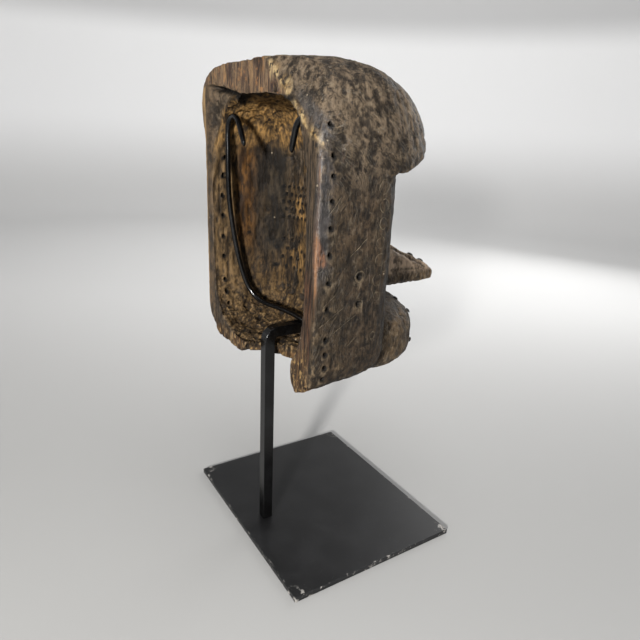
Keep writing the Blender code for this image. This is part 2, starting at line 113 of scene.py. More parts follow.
# The worn edge across the rim's near top corner, as (aside, height) of both ends
WORN_EDGE = ((-0.0308, 0.2514), (-0.0992, 0.1996))
WORN_SLOPE = 0.55

# The middle of the sweeping strokes on the dome, as (forward, height), and their usual distance
ARC_MIDDLE = (0.0300, 0.1500)
ARC_RADIUS = 0.09

# Depths of the broad changes of form
RECESS, RECESS_UNEVEN = 0.0045, 0.0040
RECESS_GROOVE = 0.0070
BEVEL_MOST = 0.012
NEAR_LEAN = 0.0032
FOOT_ROUNDING = 0.0016
BITE_EDGE = 0.0048

# Depths of the tool marks and the wear on the outside
OUTER_WAVES = 0.0013
OUTER_STROKES = 0.0007
OUTER_CRUST = 0.0007
UPRIGHT_STROKES = 0.0005
HOLE_DISH = 0.0045

# Depths of the tool marks and the wear in the hollow and on the rim
GOUGES, SMALL_GOUGES, LOW_GOUGES = 0.0022, 0.0010, 0.0032
CEILING_CUT, CEILING_JAGS = 0.0010, 0.0050
BAND_GRAIN, RIM_GRAIN, FOOT_GRAIN, END_GRAIN = 0.0009, 0.0007, 0.0018, 0.0016
FOOT_NOTCH, BAND_NOTCH = 0.0035, 0.0040
PITS, SLOTS = 0.0030, 0.0035
EDGE_CHIPS = 0.0022
TACK_SEAT = 0.0004

# How much the rounder rod and tacks are swelled, and the tacks' unevenness
ROD_SWELL = 0.00018
TACK_SWELL, TACK_UNEVEN = 0.0001, 0.0005

# The beak, before the face
BEAK_START = 0.094
BEAK_TOP = 0.150


# Random values in space

class Grain:
    """Smooth random values between 0 and 1 anywhere in space, the same on every run."""

    size = 8191

    def __init__(self, seed):
        self.values = np.random.default_rng(seed).random(self.size)

    def at(self, points, sizes):
        cell = points / np.asarray(sizes)
        base = np.floor(cell).astype(np.int64)
        part = cell - base
        part = part * part * (3 - 2 * part)
        total = np.zeros(len(points))
        for corner in itertools.product((0, 1), repeat=3):
            place = base + np.array(corner)
            key = (place[:, 0] * 73856093) ^ (place[:, 1] * 19349663) ^ (place[:, 2] * 83492791)
            weight = np.where(corner, part, 1 - part).prod(axis=1)
            total += weight * self.values[key % self.size]
        return total

    def layered(self, points, sizes, layers=3):
        total = np.zeros(len(points))
        share = 0.5
        for layer in range(layers):
            total += share * self.at(points + 0.37 * layer, np.asarray(sizes) / 2 ** layer)
            share /= 2
        return total / (1 - 0.5 ** layers)


def step_up(values, low, high):
    """0 below low, 1 above high, smooth between."""
    part = np.clip((values - low) / (high - low), 0, 1)
    return part * part * (3 - 2 * part)


def near(values, middle, reach):
    """1 at the middle, falling smoothly to 0 at the reach."""
    return 1 - step_up(np.abs(values - middle), 0, reach)


# Places on the mask

class Places:
    """Where each vertex of the mask is, and which surface it belongs to."""

    def __init__(self, points, normals):
        self.points = points
        self.normals = normals
        self.aside = points[:, 0]
        self.forward = RIM_Y - points[:, 1]
        self.height = points[:, 2] - FOOT_Z
        self.inner = self.inner_share()
        self.rim = step_up(normals[:, 1], 0.55, 0.85) * (1 - step_up(self.forward, 0.004, 0.010))
        self.band_edge = np.interp(self.aside, *zip(*BAND_EDGE))
        (start, low), (end, high) = WORN_EDGE
        run = np.hypot(end - start, high - low)
        self.past_edge = ((start - self.aside) * (low - high) + (self.height - low) * (start - end)) / run

    def inner_share(self):
        depth = np.clip(self.forward / HOLLOW_DEPTH, 0, 0.999)
        scale = (1 - depth ** BOWL_POWER) ** (1 / BOWL_POWER)
        across = np.abs(self.aside / HOLLOW_HALF) ** HOLLOW_POWER
        up = np.abs((self.height - HOLLOW_MIDDLE) / HOLLOW_RISE) ** HOLLOW_POWER
        reach = (across + up) ** (1 / HOLLOW_POWER)
        inside = 1 - step_up(reach - scale, 0.03, 0.06)
        return inside * step_up(self.forward, 0.0005, 0.003) * (self.forward < HOLLOW_DEPTH + 0.003)

    def hole_lips(self):
        """1 on the bright, crumbled lip under each hole of the side rows."""
        found = np.zeros(len(self.aside))
        for forward, height in side_holes():
            away = np.hypot(self.forward - forward, self.height - height + 0.0010)
            found = np.maximum(found, near(away, 0.0030, 0.0014) * (self.height < height + 0.0005))
        return found * (np.abs(self.aside) > 0.086)

    def holes(self):
        """1 in and right around every hole."""
        found = np.zeros(len(self.aside))
        for forward, height in side_holes():
            away = np.hypot(self.forward - forward, self.height - height)
            found = np.maximum(found, 1 - step_up(away, HOLE_RADIUS, HOLE_RADIUS * HOLE_FADE))
        found *= np.abs(self.aside) > 0.080
        for aside, height in perforation_places():
            away = np.hypot(np.abs(self.aside) - aside, self.height - height)
            close = 1 - step_up(away, PERFORATION_RADIUS, PERFORATION_RADIUS * HOLE_FADE)
            found = np.maximum(found, close * (self.forward > 0.040) * (self.forward < 0.100))
        return found


def side_holes():
    """Where the holes in the side walls are, as (forward, height)."""
    return [(ROW_FORWARD, height) for height in ROW_HEIGHTS] + list(SINGLE_HOLES)


def perforation_places():
    """Where the perforations are on the left side, as (aside, height)."""
    places = []
    for rows, columns, pitch, row_pitch, out, middle in FIELDS:
        for row in range(rows):
            height = middle + row_pitch * (row - (rows - 1) / 2)
            for column in range(columns - row % 2):
                places.append((out + pitch * (column - (columns - 1) / 2 + 0.5 * (row % 2)), height))
    return places


# Meshes

def merged_copy(node):
    """The node's mesh with its split vertices joined again."""
    bm = bmesh.new()
    bm.from_mesh(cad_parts[node].data)
    bmesh.ops.remove_doubles(bm, verts=bm.verts, dist=2e-6)
    mesh = bpy.data.meshes.new(f"{node}_form")
    bm.to_mesh(mesh)
    bm.free()
    return mesh


def add_piece(name, mesh):
    piece = bpy.data.objects.new(name, mesh)
    bpy.context.scene.collection.objects.link(piece)
    return piece


def applied(piece):
    """The piece with its modifiers turned into its mesh."""
    graph = bpy.context.evaluated_depsgraph_get()
    graph.update()
    mesh = bpy.data.meshes.new_from_object(piece.evaluated_get(graph))
    old = piece.data
    piece.modifiers.clear()
    piece.data = mesh
    bpy.data.meshes.remove(old)
    return piece


def points_of(mesh):
    points = np.empty(len(mesh.vertices) * 3)
    mesh.vertices.foreach_get("co", points)
    return points.reshape(-1, 3)


def normals_of(mesh):
    normals = np.empty(len(mesh.vertices) * 3)
    mesh.vertex_normals.foreach_get("vector", normals)
    return normals.reshape(-1, 3)


def edges_of(mesh):
    edges = np.empty(len(mesh.edges) * 2, np.int64)
    mesh.edges.foreach_get("vertices", edges)
    return edges.reshape(-1, 2)


def set_points(mesh, points):
    mesh.vertices.foreach_set("co", np.ascontiguousarray(points, np.float32).ravel())
    mesh.update()


def averaged(values, edges, rounds=1):
    """Each value mixed with its neighbours', a few times over."""
    count = np.bincount(edges.ravel(), minlength=len(values)).astype(float)
    count = count if values.ndim == 1 else count[:, None]
    for _ in range(rounds):
        total = np.zeros_like(values)
        np.add.at(total, edges[:, 0], values[edges[:, 1]])
        np.add.at(total, edges[:, 1], values[edges[:, 0]])
        values = 0.5 * values + 0.5 * total / count
    return values


def bulge(mesh, rounds):
    """Above 0 on ridges and edges, below 0 in grooves, in metres."""
    points = points_of(mesh)
    smooth = averaged(points, edges_of(mesh), rounds)
    return ((points - smooth) * normals_of(mesh)).sum(axis=1)


def keep(mesh, name, values):
    made = mesh.attributes.new(name, "FLOAT", "POINT")
    made.data.foreach_set("value", np.ascontiguousarray(values, np.float32))


# Carving

def slide(places, grain):
    """Broad changes of form: the recessed far rim, the bevelled near corner and the rounded near foot."""
    shift = np.zeros_like(places.points)
    aside, forward, height = places.aside, places.forward, places.height
    under = places.band_edge - height
    at_back = 1 - step_up(forward, 0.006, 0.028)
    far = step_up(aside, 0.020, 0.060) * (1 - step_up(aside, 0.084, 0.098))
    rough = grain.layered(places.points, (0.010, 0.010, 0.010), 2)
    recess = far * step_up(under, 0.0, 0.0015) * (1 - step_up(under, 0.030, 0.100))
    shift[:, 1] -= (RECESS + RECESS_UNEVEN * rough) * recess * at_back
    groove = far * step_up(under, -0.0005, 0.0010) * (1 - step_up(under, 0.0025, 0.0065))
    shift[:, 1] -= RECESS_GROOVE * groove * at_back
    bevel = np.clip(WORN_SLOPE * places.past_edge - forward, 0, BEVEL_MOST)
    shift[:, 1] -= bevel * (1 - places.inner) * (aside < 0)
    lean = near(height, 0.188, 0.042) * (aside < -0.060) * (places.normals[:, 0] > 0.2)
    shift[:, 0] += NEAR_LEAN * lean * (1 - step_up(forward, 0.004, 0.020))
    foot = step_up(-aside, 0.066, 0.074) * (1 - step_up(forward, 0.010, 0.030))
    shift[:, 2] += FOOT_ROUNDING * foot * (1 - step_up(height, 0.001, 0.014))
    bite = step_up(aside, -0.062, -0.050) * (1 - step_up(aside, 0.016, 0.034)) * (height < 0.020)
    shift[:, 1] += BITE_EDGE * bite * step_up(forward, 0.006, 0.014) * (1 - step_up(forward, 0.030, 0.045))
    return shift


def relief(places, grain):
    """How far each point moves along its normal: into the wood where it is below 0."""
    points = places.points
    aside, forward, height = places.aside, places.forward, places.height
    inner = places.inner
    outer = (1 - inner) * (1 - places.rim)
    depth = OUTER_WAVES * outer * (0.5 - grain.layered(points, (0.022, 0.022, 0.026), 2))

    brow = step_up(height, 0.140, 0.185)
    for turn in (0.15, 0.55, 1.2, 2.5):
        along = points[:, 1] * math.cos(turn) + points[:, 2] * math.sin(turn)
        across = points[:, 1] * math.sin(turn) - points[:, 2] * math.cos(turn)
        strokes = grain.at(np.stack((points[:, 0] * 0.6, across, along), 1), (0.0028, 0.0028, 0.020))
        patch = grain.at(points + turn, (0.030, 0.030, 0.030))
        depth -= OUTER_STROKES * outer * (0.40 + 0.60 * brow) * step_up(strokes, 0.52, 0.78) * patch
    crust = grain.layered(points + 3, (0.006, 0.006, 0.009), 3)
    depth += OUTER_CRUST * outer * (0.5 - step_up(crust, 0.40, 0.70))
    upright = grain.at(points + 5, (0.0030, 0.0030, 0.022))
    depth -= UPRIGHT_STROKES * outer * (1 - brow) * step_up(upright, 0.50, 0.80)

    gouge = grain.layered(points + 7, (0.007, 0.007, 0.026), 3)
    depth -= GOUGES * inner * step_up(gouge, 0.40, 0.75)
    gouge = grain.layered(points + 8, (0.0028, 0.0028, 0.010), 2)
    depth -= SMALL_GOUGES * inner * step_up(gouge, 0.55, 0.80)
    low = 1 - step_up(height, 0.032, 0.070)
    gouge = grain.layered(points + 9, (0.007, 0.007, 0.006), 3)
    depth -= LOW_GOUGES * inner * low * step_up(gouge, 0.46, 0.70)

    ceiling = inner * step_up(height, places.band_edge - 0.026, places.band_edge - 0.012)
    jag = grain.layered(points + 11, (0.008, 0.020, 0.020), 3)
    jags = CEILING_CUT + CEILING_JAGS * step_up(jag, 0.35, 0.75)
    depth -= jags * ceiling * (1 - step_up(forward, 0.010, 0.022))

    band = places.rim * step_up(height, places.band_edge - 0.002, places.band_edge + 0.001)
    depth -= BAND_GRAIN * band * grain.layered(points + 13, (0.0030, 0.010, 0.030), 2)
    side_rim = places.rim * (1 - band)
    depth -= RIM_GRAIN * side_rim * grain.layered(points + 17, (0.0032, 0.010, 0.040), 2)

    bottom = step_up(-places.normals[:, 2], 0.35, 0.75) * (1 - step_up(height, 0.010, 0.022))
    rough = grain.layered(points + 19, (0.0036, 0.0060, 0.020), 3)
    depth -= FOOT_GRAIN * bottom * (1 - step_up(forward, 0.030, 0.050)) * rough
    grooves = grain.at(points + 21, (0.0040, 0.012, 0.060))
    end_grain = (1 - step_up(height, 0.014, 0.020)) * step_up(places.normals[:, 1], 0.4, 0.8)
    depth -= END_GRAIN * end_grain * step_up(grooves, 0.45, 0.75)
    depth -= FOOT_NOTCH * near(aside, 0.0385, 0.0035) * bottom * (1 - step_up(forward, 0.006, 0.014))
    notch = near(aside, -0.0370, 0.0045) * near(height, places.band_edge + 0.002, 0.008)
    depth -= BAND_NOTCH * notch * band

    pits = near(forward, 0.0720, 0.006) * near(height, 0.1800, 0.0040) * (aside > 0.060)
    depth -= PITS * inner * pits
    for slot_aside, slot_height in ((0.083, 0.1280), (0.080, 0.1020)):
        slot = near(aside, slot_aside, 0.003) * near(height, slot_height, 0.007)
        depth -= SLOTS * inner * slot
    depth *= 1 - 0.8 * places.holes()
    for hole_forward, hole_height in SINGLE_HOLES:
        away = np.hypot(forward - hole_forward, height - hole_height)
        depth -= HOLE_DISH * outer * (1 - step_up(away, HOLE_RADIUS * 0.6, HOLE_RADIUS * 1.5))
    depth += beak_relief(places, grain) + face_relief(places)
    seat = tack_seats(places)
    return depth * (1 - seat) + TACK_SEAT * seat


def beak_relief(places, grain):
    """Long facets on the beak: a groove under its ridge and one above its underside."""
    on_beak = step_up(places.forward, BEAK_START, BEAK_START + 0.006)
    on_beak *= step_up(BEAK_TOP - places.height, 0, 0.010) * step_up(places.height, 0.070, 0.074)
    along = places.forward - BEAK_START
    top = places.height - (0.1265 - 0.48 * along)
    low = places.height - (0.0800 - 0.05 * along)
    depth = -0.0016 * near(top, 0.0, 0.0030) - 0.0010 * near(low, 0.0, 0.0030)
    depth -= 0.0010 * grain.layered(places.points + 31, (0.004, 0.014, 0.004), 2)
    return depth * on_beak * (1 - step_up(places.forward, 0.196, 0.204))


def tack_seats(places):
    """1 around the tacks, where the wood stays as it is so that their heads sit on it."""
    found = np.zeros(len(places.aside))
    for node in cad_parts:
        if "tack" in node:
            low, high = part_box(node)
            centre = (np.array(low) + np.array(high)) / 2
            away = np.linalg.norm(places.points - centre, axis=1)
            found = np.maximum(found, 1 - step_up(away, 0.0042, 0.0075))
    return found


def face_relief(places):
    """The quiet face at the front: eyelids around the perforated eyes, lips and a ridge on the brow."""
    front = step_up(-places.normals[:, 1], 0.2, 0.5) * (places.forward > 0.060)
    out = np.abs(places.aside)
    eye = np.hypot((out - 0.0560) / 0.0330, (places.height - 0.1370) / 0.0250)
    depth = 0.0024 * near(eye, 1.0, 0.17) + 0.0022 * (1 - step_up(eye, 0.35, 0.95))
    depth *= 1 - step_up(out, 0.070, 0.084)
    mouth = np.hypot(out / 0.0520, (places.height - 0.0355) / 0.0105)
    lips = -0.0012 * (1 - step_up(mouth, 0.9, 1.2)) - 0.0016 * near(mouth, 1.75, 0.20)
    depth += lips * (1 - step_up(out, 0.030, 0.044))
    depth -= 0.0022 * near(out, 0.0065, 0.0022) * (places.height > 0.190) * (places.forward > 0.085)
    for number in range(3):
        line = places.height - 0.0960 + 0.0110 * number - 0.35 * (out - 0.045)
        depth -= 0.0016 * near(line, 0.0, 0.0016) * near(out, 0.056, 0.022) * (places.height < 0.105)
    return depth * front


def build_mask():
    mesh = merged_copy("mask")
    piece = add_piece("carved_mask", mesh)
    remesh = piece.modifiers.new("Even mesh", "REMESH")
    remesh.mode = "VOXEL"
    remesh.voxel_size = VOXEL
    applied(piece)
    grain = Grain(7)
    mesh = piece.data
    points = points_of(mesh)
    edges = edges_of(mesh)
    places = Places(points, normals_of(mesh))
    set_points(mesh, points + slide(places, grain))
    places = Places(points_of(mesh), normals_of(mesh))

    worn = places.rim * (1 - step_up(places.height, places.band_edge - 0.004, places.band_edge))
    worn = np.clip(averaged(worn, edges, 6) * 1.6, 0, 1)
    foot = (1 - step_up(places.height, 0.006, 0.022)) * (1 - step_up(places.forward, 0.020, 0.050))
    soften = np.clip(0.7 * worn + foot, 0, 1)[:, None]
    points = points_of(mesh)
    points = points + soften * (averaged(points, edges, 10) - points)
    points += places.normals * averaged(relief(places, grain), edges, 1)[:, None]
    chip = bulge(mesh, 12)
    chips = step_up(grain.layered(points + 23, (0.006, 0.006, 0.009), 3), 0.50, 0.66)
    at_rim = 1 - step_up(places.forward, 0.020, 0.040)
    cut = EDGE_CHIPS * step_up(chip, 0.0004, 0.0012) * chips * at_rim * (1 - places.inner)
    points -= places.normals * averaged(cut, edges, 1)[:, None]
    set_points(mesh, np.clip(points, MASK_LOW, MASK_HIGH))

    fewer = piece.modifiers.new("Fewer faces", "DECIMATE")
    fewer.ratio = min(1.0, MOST_TRIANGLES / (2 * len(mesh.polygons)))
    fewer.use_collapse_triangulate = True
    applied(piece)
    mesh = piece.data
    mesh.shade_smooth()
    paint(mesh)
    return piece


def paint(mesh):
    """Where the mask is bare, worn, polished or dirty, and where shade, shadow, a glint and light are
    painted on it, kept as values that its material reads.
    """
    places = Places(points_of(mesh), normals_of(mesh))
    aside, forward, height = places.aside, places.forward, places.height
    grain = Grain(11)
    patch = grain.layered(places.points, (0.020, 0.020, 0.026), 3)
    small = grain.layered(places.points + 2, (0.006, 0.006, 0.010), 3)
    fine = bulge(mesh, 3)
    broad = averaged(bulge(mesh, 10), edges_of(mesh), 2)
    outer = 1 - places.inner
    keep(mesh, "inner", places.inner)
    keep(mesh, "groove", step_up(-fine, 0.00003, 0.00016))
    keep(mesh, "ridge", step_up(broad, 0.00025, 0.0011))
    # Painted shade: the holes and a ring round each are painted near black
    keep(mesh, "hole", places.holes())
    keep(mesh, "lip", places.hole_lips())

    behind_edge = 1 - step_up(places.past_edge, -0.003, -0.001)
    on_band = step_up(height, places.band_edge - 0.0015, places.band_edge + 0.0005)
    keep(mesh, "bare", places.rim * on_band * outer * behind_edge)
    low_band = 1 - step_up(height + 0.004 * small, 0.0165, 0.0185)
    low_band *= step_up(places.normals[:, 1], 0.3, 0.6)
    foot = (1 - step_up(height + 0.016 * small, 0.040, 0.052)) * (1 - step_up(forward, 0.004, 0.012))
    foot = foot * step_up(-aside, 0.060, 0.070) * (1 - step_up(-aside, 0.095, 0.101))
    keep(mesh, "raw", np.clip(low_band * outer * (forward < 0.045) + foot, 0, 1))
    under = places.band_edge - height
    # Painted shadow: the jagged undercut under the top band and the hollow's ceiling by the rim are painted
    # near black
    undercut_shadow = step_up(under, -0.0005, 0.0010) * (1 - step_up(under, 0.0030, 0.0060 + 0.004 * patch))
    undercut_shadow *= step_up(aside, -0.078, -0.060) * (1 - step_up(aside, 0.084, 0.092))
    undercut_shadow *= 1 - step_up(forward, 0.012, 0.030)
    ceiling = places.inner * step_up(height, 0.2260, 0.2290) * (aside > -0.075)
    ceiling *= 1 - step_up(forward + 0.020 * (small - 0.5), 0.018, 0.028)
    keep(mesh, "black", np.maximum(undercut_shadow, ceiling))

    crumb = grain.layered(places.points + 4, (0.0034, 0.0034, 0.0034), 2)
    crumb = step_up(crumb, 0.34, 0.50)
    edge = 1 - step_up(np.abs(places.past_edge + 0.0002 - 0.005 * (small - 0.5)), 0.0010, 0.0024)
    edge = edge * (1 - step_up(forward, 0.004, 0.007)) * step_up(-aside, 0.018, 0.030)
    keep(mesh, "gold", np.clip(edge * crumb * outer * (height > 0.198), 0, 1))
    # Painted highlight: a small pale glint on the worn edge of the rim's near corner
    painted_glint = near(height, 0.2040, 0.0090) * near(aside, -0.1005, 0.0036)
    keep(mesh, "painted_glint", painted_glint * (1 - step_up(forward, 0.003, 0.006)) * outer)
    side = step_up(-aside, 0.099, 0.103)
    seam = near(aside, -0.1040, 0.0018) * (1 - step_up(forward, 0.0012, 0.0026)) * (height < 0.205)
    broken = 0.15 + 0.85 * step_up(patch + 0.5 * (small - 0.5), 0.46, 0.60)
    keep(mesh, "seam", seam * outer * broken * step_up(height, 0.060, 0.085))
    reach = forward + 0.006 * (small - 0.5)
    upper = step_up(height, 0.085, 0.125) * (1 - step_up(reach, 0.007, 0.013)) * side
    bevel = step_up(places.past_edge, 0.0020, 0.0045) * (1 - step_up(places.past_edge, 0.008, 0.014))
    bevel = bevel * (1 - step_up(height, 0.218, 0.240)) * (1 - step_up(forward, 0.010, 0.016))
    keep(mesh, "polish", np.clip(np.maximum(upper, bevel), 0, 1) * outer * (1 - edge))
    strip = places.rim * (aside < -0.080) * step_up(aside, -0.1035, -0.1000)
    strip *= 1 - step_up(height, 0.205, 0.222)
    keep(mesh, "strip", strip * outer)
    cone = forward - 0.0095 * np.clip((0.139 - height) / 0.020, 0, 1)
    rust = (1 - step_up(cone, -0.0015, 0.0012)) * step_up(height, 0.1125, 0.1165) * side * (height < 0.138)
    low_rim = places.rim * (aside < -0.080) * step_up(aside, -0.1030, -0.0990)
    low_rim *= (1 - step_up(height, 0.100, 0.118)) * step_up(height, 0.030, 0.045)
    keep(mesh, "rust", rust * outer)
    keep(mesh, "red_rim", low_rim * (0.35 + 0.65 * step_up(small, 0.36, 0.60)) * outer)
    # Painted shade: the outer walls before the face are darkened, most towards the foot and least on the
    # dome
    before_face = 1 - step_up(forward, 0.082, 0.092)
    painted_shade = 0.10 + before_face * (0.42 + 0.14 * (1 - step_up(height, 0.070, 0.150)))
    keep(mesh, "painted_shade", outer * (painted_shade - 0.26 * step_up(height, 0.175, 0.215)))
    # Painted light: where the beak is painted much lighter than the wood round it
    keep(mesh, "beak_painted_light", step_up(forward, 0.094, 0.100) * step_up(height, 0.070, 0.076) * (height < 0.150))
    keep(mesh, "strokes", step_up(height, 0.150, 0.185) * outer)
    keep(mesh, "stipple", near(forward, 0.058, 0.015) * near(height, 0.134, 0.060) * side)
    far_rim = step_up(aside, 0.086, 0.090) * (1 - step_up(forward, 0.008, 0.020)) * outer
    keep(mesh, "far_rim", far_rim * (1 - on_band))
    keep(mesh, "far_edge", step_up(aside, 0.1000, 0.1035) * (1 - step_up(forward, 0.004, 0.010)) * crumb)

    eyes = near(aside, 0.042, 0.030) * near(height, 0.134, 0.040)
    eyes = np.maximum(eyes, 0.7 * near(aside, 0.050, 0.026) * near(height, 0.084, 0.026))
    top = step_up(height + 0.020 * (patch - 0.5), 0.180, 0.200)
    keep(mesh, "warm", places.inner * np.clip(eyes + 0.9 * top, 0, 1))
    beyond = step_up(forward, 0.038, 0.050) * step_up(aside, 0.046, 0.058)
    stain = step_up(forward, 0.020, 0.032) * (1 - step_up(forward, 0.048, 0.060)) * (aside > 0.060)
    keep(mesh, "umber", places.inner * stain * step_up(height, 0.070, 0.110) * (1 - top))
    keep(mesh, "slate", places.inner * beyond * step_up(height, 0.060, 0.100) * (1 - top) * (1 - 0.8 * eyes))
    keep(mesh, "crumbs", places.inner * (1 - step_up(height, 0.030, 0.062)))
    far_wall = places.inner * step_up(aside, 0.074, 0.084)
    keep(mesh, "far_wall", far_wall * (1 - step_up(forward, 0.022, 0.036)))


def finer(node, name, swell, uneven=0.0):
    """A rounder copy of a small solid, which stands in its place."""
    piece = add_piece(name, merged_copy(node))
    rounder = piece.modifiers.new("Rounder", "SUBSURF")
    rounder.levels = rounder.render_levels = 1
    applied(piece)
    mesh = piece.data
    points = points_of(mesh)
    normals = normals_of(mesh)
    amount = np.full(len(points), swell)
    amount -= uneven * Grain(5).layered(points, (0.004, 0.004, 0.004), 2)
    set_points(mesh, points + normals * amount[:, None])
    mesh.shade_smooth()
    return piece


# Materials

# Dark colours of the wood, in linear light, and two colours of painted shade: on the outer walls, and in the
# holes and undercuts
SOOT = (0.0075, 0.0055, 0.0040)
DEEP_SOOT = (0.0065, 0.0048, 0.0034)
DARK_STROKE = (0.0085, 0.0062, 0.0045)
PAINTED_WALL_SHADE = (0.0050, 0.0038, 0.0030)
PAINTED_HOLLOW_SHADOW = (0.0022, 0.0017, 0.0013)

# How high the materials' fine relief stands
WOOD_BUMP = 0.0012
ROD_BUMP = 0.00008
STEEL_BUMP = 0.00012
IRON_BUMP = 0.00045


class Shader:
    """Short calls for the shader nodes used here."""

    def __init__(self, name):
        self.material = bpy.data.materials.new(name)
        self.material.use_nodes = True
        self.tree = self.material.node_tree
        self.surface = self.tree.nodes["Principled BSDF"]
        self.place = self.node("ShaderNodeTexCoord").outputs["Object"]

    def put(self, socket, value):
        if isinstance(value, bpy.types.NodeSocket):
            self.tree.links.new(value, socket)
        else:
            socket.default_value = value

    def node(self, kind, values=(), **settings):
        made = self.tree.nodes.new(kind)
        for key, value in settings.items():
            setattr(made, key, value)
        for key, value in dict(values).items():
            self.put(made.inputs[key], value)
        return made

    def math(self, operation, first, second=0.0):
        made = self.node("ShaderNodeMath", {0: first, 1: second}, operation=operation)
        return made.outputs[0]

    def times(self, first, second):
        return self.math("MULTIPLY", first, second)

    def most(self, first, second):
        return self.math("MAXIMUM", first, second)

    def less(self, value):
        return self.math("SUBTRACT", 1.0, value)

    def ramp(self, value, low, high):
        """0 at low, 1 at high, smooth between."""
        values = {"Value": value, "From Min": low, "From Max": high}
        return self.node("ShaderNodeMapRange", values, interpolation_type="SMOOTHSTEP").outputs[0]

    def mix(self, share, first, second):
        values = {0: share, 6: colour(first), 7: colour(second)}
        return self.node("ShaderNodeMix", values, data_type="RGBA").outputs[2]

    def sized(self, sizes, turn=(0.0, 0.0, 0.0), place=None):
        """Coordinates that count in steps of the given sizes, in metres, along turned axes."""
        values = {"Vector": place or self.place, "Rotation": turn, "Scale": sizes}
        return self.node("ShaderNodeMapping", values, vector_type="TEXTURE").outputs[0]

    def noise(self, sizes, detail=4.0, roughness=0.5, turn=(0.0, 0.0, 0.0), place=None):
        where = self.sized(sizes, turn, place)
        values = {"Vector": where, "Scale": 1.0, "Detail": detail, "Roughness": roughness}
        return self.node("ShaderNodeTexNoise", values).outputs[0]

    def flecks(self, sizes, turn=(0.0, 0.0, 0.0), width=0.2):
        """Separate small marks, one in each cell, and a random value for each."""
        made = self.node("ShaderNodeTexVoronoi", {"Vector": self.sized(sizes, turn), "Scale": 1.0})
        chance = self.node("ShaderNodeSeparateColor", {0: made.outputs["Color"]}).outputs[0]
        return self.less(self.ramp(made.outputs["Distance"], width * 0.5, width)), chance

    def bent(self, sizes, amount):
        """Coordinates pushed about by a smooth noise, so that lines through them curve."""
        where = self.sized(sizes)
        made = self.node("ShaderNodeTexNoise", {"Vector": where, "Scale": 1.0, "Detail": 2.0})
        values = {0: made.outputs["Color"], 1: (-0.5, -0.5, -0.5)}
        centred = self.node("ShaderNodeVectorMath", values, operation="ADD").outputs[0]
        scaled = self.node("ShaderNodeVectorMath", {0: centred, "Scale": amount}, operation="SCALE")
        values = {0: self.place, 1: scaled.outputs[0]}
        return self.node("ShaderNodeVectorMath", values, operation="ADD").outputs[0]

    def attribute(self, name):
        return self.node("ShaderNodeAttribute", attribute_name=name).outputs["Fac"]

    def over(self, name, share, base, paint):
        """The base with a colour over it, where the mesh's named value says."""
        return self.mix(self.times(self.attribute(name), share), base, paint)

    def bump(self, height, distance):
        made = self.node("ShaderNodeBump", {"Height": height, "Distance": distance})
        self.put(self.surface.inputs["Normal"], made.outputs[0])

    def finish(self, colour_value, roughness, metallic=0.0, **more):
        self.put(self.surface.inputs["Base Color"], colour(colour_value))
        self.put(self.surface.inputs["Roughness"], roughness)
        self.put(self.surface.inputs["Metallic"], metallic)
        for key, value in more.items():
            self.put(self.surface.inputs[key.replace("_", " ")], value)
        return self.material


def colour(value):
    return value if isinstance(value, bpy.types.NodeSocket) else (*value, 1.0)


def side_marks(shader):
    """Rings and scratches cut into the mask's right side: 1 on their lines."""
    parts = shader.node("ShaderNodeSeparateXYZ", {0: shader.place})
    flat = shader.node("ShaderNodeCombineXYZ", {1: parts.outputs[1], 2: parts.outputs[2]}).outputs[0]
    wobble = shader.noise((0.004, 0.004, 0.004), 2.0)
    marks = None
    for forward, height, radius in RINGS:
        centre = (0.0, RIM_Y - forward, FOOT_Z + height)
        away = shader.node("ShaderNodeVectorMath", {0: flat, 1: centre}, operation="DISTANCE").outputs[1]
        away = shader.math("ADD", away, shader.times(shader.math("SUBTRACT", wobble, 0.5), 0.0012))
        off = shader.math("ABSOLUTE", shader.math("SUBTRACT", away, radius))
        ring = shader.less(shader.ramp(off, RING_LINE * 0.4, RING_LINE * 1.4))
        marks = ring if marks is None else shader.most(marks, ring)
    marks = shader.times(marks, 0.75)
    for start, end in SCRATCHES:
        first = Vector((0.0, RIM_Y - start[0], FOOT_Z + start[1]))
        last = Vector((0.0, RIM_Y - end[0], FOOT_Z + end[1]))
        span = last - first
        turn = math.atan2(span.z, span.y)
        values = {"Vector": flat, "Location": (first + last) / 2, "Rotation": (turn, 0.0, 0.0)}
        local = shader.node("ShaderNodeMapping", values, vector_type="TEXTURE").outputs[0]
        local = shader.node("ShaderNodeSeparateXYZ", {0: local})
        along = shader.math("ABSOLUTE", local.outputs[1])
        across = shader.math("ABSOLUTE", local.outputs[2])
        line = shader.times(
            shader.less(shader.ramp(along, span.length * 0.38, span.length * 0.55)),
            shader.less(shader.ramp(across, SCRATCH_LINE * 0.3, SCRATCH_LINE * 1.2)),
        )
        marks = shader.most(marks, line)
    right = shader.ramp(parts.outputs[0], -0.090, -0.097)
    return shader.times(marks, right)


def arc_place(shader, place):
    """Coordinates that turn about the mask's middle: across, out from it, and along the arc."""
    parts = shader.node("ShaderNodeSeparateXYZ", {0: place})
    back = shader.math("SUBTRACT", parts.outputs[1], RIM_Y - ARC_MIDDLE[0])
    up = shader.math("SUBTRACT", parts.outputs[2], FOOT_Z + ARC_MIDDLE[1])
    out = shader.math("SQRT", shader.math("ADD", shader.times(back, back), shader.times(up, up)))
    along = shader.times(shader.math("ARCTAN2", up, back), ARC_RADIUS)
    return shader.node("ShaderNodeCombineXYZ", {0: parts.outputs[0], 1: out, 2: along}).outputs[0]


